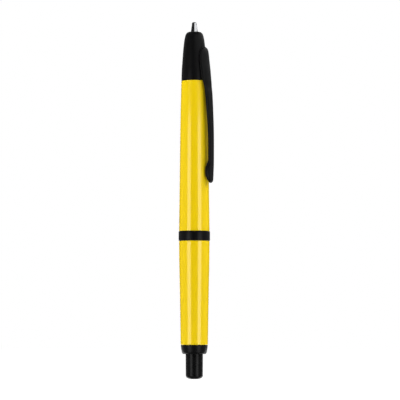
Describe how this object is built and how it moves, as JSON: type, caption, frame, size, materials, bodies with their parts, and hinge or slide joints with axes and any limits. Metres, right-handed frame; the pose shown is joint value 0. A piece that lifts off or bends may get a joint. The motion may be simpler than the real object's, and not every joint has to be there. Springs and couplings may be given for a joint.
{
  "type": "mechanical pencil",
  "caption": "Slim push-button mechanical pencil: yellow lacquered barrels, black nose, band and button, spring clip rooted on the nose, metal lead cone.",
  "frame": {"origin": "centre of the flat end of the push button", "axes": "+Z along the pencil, from the button to the tip; -X from the axis towards the clip"},
  "size_m": [0.0143, 0.0122, 0.14],
  "materials": {
    "yellow_lacquer": "glossy, slightly pearly clear-coated lacquer",
    "black_satin": "satin black coating",
    "black_plastic": "semi-gloss black moulding",
    "polished_steel": "polished",
    "brushed_steel": "fine turned",
    "spring_steel": "drawn wire",
    "brass": "turned",
    "black_rubber": "matte",
    "grey_plastic": "moulded, slightly translucent",
    "white_eraser": "matte vinyl",
    "graphite": "drawn graphite"
  },
  "bodies": {
    "barrel": {"front_barrel": "yellow_lacquer", "nose_cone": "black_satin", "clip_rivet": "polished_steel", "barrel_coupler": "brass", "mechanism_sleeve": "brushed_steel", "tip_cone": "polished_steel", "lead_retainer": "black_rubber", "return_spring": "spring_steel"},
    "clip": {"clip": "black_satin"},
    "band": {"centre_band": "black_satin"},
    "rear": {"rear_barrel": "yellow_lacquer", "end_ring": "black_satin"},
    "knock": {"lead_magazine": "grey_plastic", "chuck_holder": "grey_plastic", "chuck": "brass", "spare_lead_1": "graphite", "spare_lead_2": "graphite", "spare_lead_3": "graphite"},
    "lead": {"lead": "graphite", "clutch_ring": "brass"},
    "cap": {"button_cap": "black_plastic"},
    "eraser": {"eraser": "white_eraser"}
  },
  "joints": [
    {"name": "knock", "type": "slide", "parent": "barrel", "child": "knock", "axis": [0, 0, 1], "range_m": [0, 0.0025], "stiffness_N_per_m": 1000, "springref_m": -0.002, "deforming": ["return_spring"]},
    {"name": "lead_feed", "type": "slide", "parent": "barrel", "child": "lead", "axis": [0, 0, 1], "range_m": [0, 0.0008]},
    {"name": "clip_flex", "type": "hinge", "parent": "barrel", "child": "clip", "pos_m": [-0.0046, 0, 0.1295], "axis": [0, 1, 0], "range_deg": [0, 3], "stiffness_Nm_per_rad": 3.3},
    {"name": "cap_pull", "type": "slide", "parent": "knock", "child": "cap", "axis": [0, 0, -1], "range_m": [0, 0.014]},
    {"name": "eraser_pull", "type": "slide", "parent": "knock", "child": "eraser", "axis": [0, 0, -1], "range_m": [0, 0.007]},
    {"name": "band_slide", "type": "slide", "parent": "barrel", "child": "band", "axis": [0, 0, -1], "range_m": [0, 0.006]},
    {"name": "rear_unscrew", "type": "hinge", "parent": "band", "child": "rear", "pos_m": [0, 0, 0.05], "axis": [0, 0, -1], "range_deg": [0, 2880]}
  ],
  "couplings": [
    {"joint": "lead_feed", "follows": "knock", "ratio": 0.32},
    {"joint": "eraser_pull", "follows": "cap_pull", "ratio": 0.5},
    {"joint": "band_slide", "follows": "rear_unscrew", "m_per_rad": 0.00011937}
  ]
}
